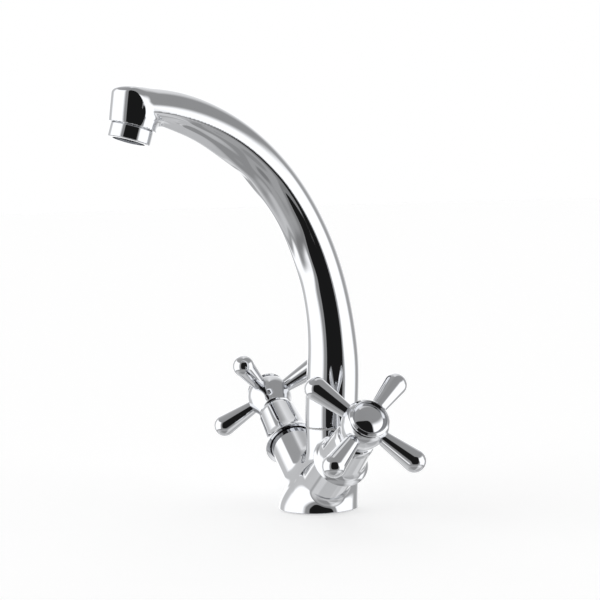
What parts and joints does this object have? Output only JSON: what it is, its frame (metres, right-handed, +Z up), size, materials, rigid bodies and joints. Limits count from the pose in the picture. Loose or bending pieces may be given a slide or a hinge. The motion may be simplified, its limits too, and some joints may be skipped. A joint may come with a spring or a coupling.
{
  "type": "basin mixer faucet",
  "caption": "Deck-mounted chrome basin mixer: flared body with two angled cross-handle valves and a high arched swivel spout ending in an aerator.",
  "frame": {"origin": "centre of the body's base circle, on its underside, where it meets the deck", "axes": "+Z up along the column, -Y towards the user and the spout's outlet, +X towards the cold (right) valve"},
  "size_m": [0.1918, 0.1523, 0.2459],
  "materials": {
    "chrome": "polished, mirror bright",
    "brass": "turned",
    "steel": "turned, satin",
    "rubber": "matt",
    "ceramic": "lapped alumina, satin",
    "white_plastic": "moulded acetal",
    "grey_plastic": "moulded"
  },
  "bodies": {
    "fixed": {"body_casting": "chrome", "base_seal": "rubber", "spout_glide_ring": "white_plastic", "spout_retaining_screw": "steel", "left_skirt": "chrome", "left_headwork_housing": "brass", "left_ceramic_disc_fixed": "ceramic", "left_seat_seal": "rubber", "right_skirt": "chrome", "right_headwork_housing": "brass", "right_ceramic_disc_fixed": "ceramic", "right_seat_seal": "rubber"},
    "spout": {"spout_tube": "chrome", "spout_o_ring_lower": "rubber", "spout_o_ring_upper": "rubber", "aerator_housing": "chrome", "aerator_insert": "grey_plastic", "aerator_gasket": "rubber"},
    "left_handle": {"left_handle_hub": "chrome", "left_spoke_1": "chrome", "left_spoke_2": "chrome", "left_spoke_3": "chrome", "left_spoke_4": "chrome", "left_handle_cap": "chrome", "left_handle_screw": "steel", "left_spindle": "brass", "left_spindle_o_ring": "rubber", "left_ceramic_disc_moving": "ceramic"},
    "right_handle": {"right_handle_hub": "chrome", "right_spoke_1": "chrome", "right_spoke_2": "chrome", "right_spoke_3": "chrome", "right_spoke_4": "chrome", "right_handle_cap": "chrome", "right_handle_screw": "steel", "right_spindle": "brass", "right_spindle_o_ring": "rubber", "right_ceramic_disc_moving": "ceramic"}
  },
  "joints": [
    {"name": "spout_swivel", "type": "hinge", "parent": "fixed", "child": "spout", "pos_m": [0, 0.00975, 0.0471], "axis": [0, 0, 1], "continuous": true},
    {"name": "left_handle_turn", "type": "hinge", "parent": "fixed", "child": "left_handle", "pos_m": [-0.0755, -0.0009, 0.0574], "axis": [-0.83, 0, 0.5577], "range_deg": [0, 90]},
    {"name": "right_handle_turn", "type": "hinge", "parent": "fixed", "child": "right_handle", "pos_m": [0.0755, -0.0009, 0.0574], "axis": [-0.83, 0, -0.5577], "range_deg": [0, 90]}
  ]
}
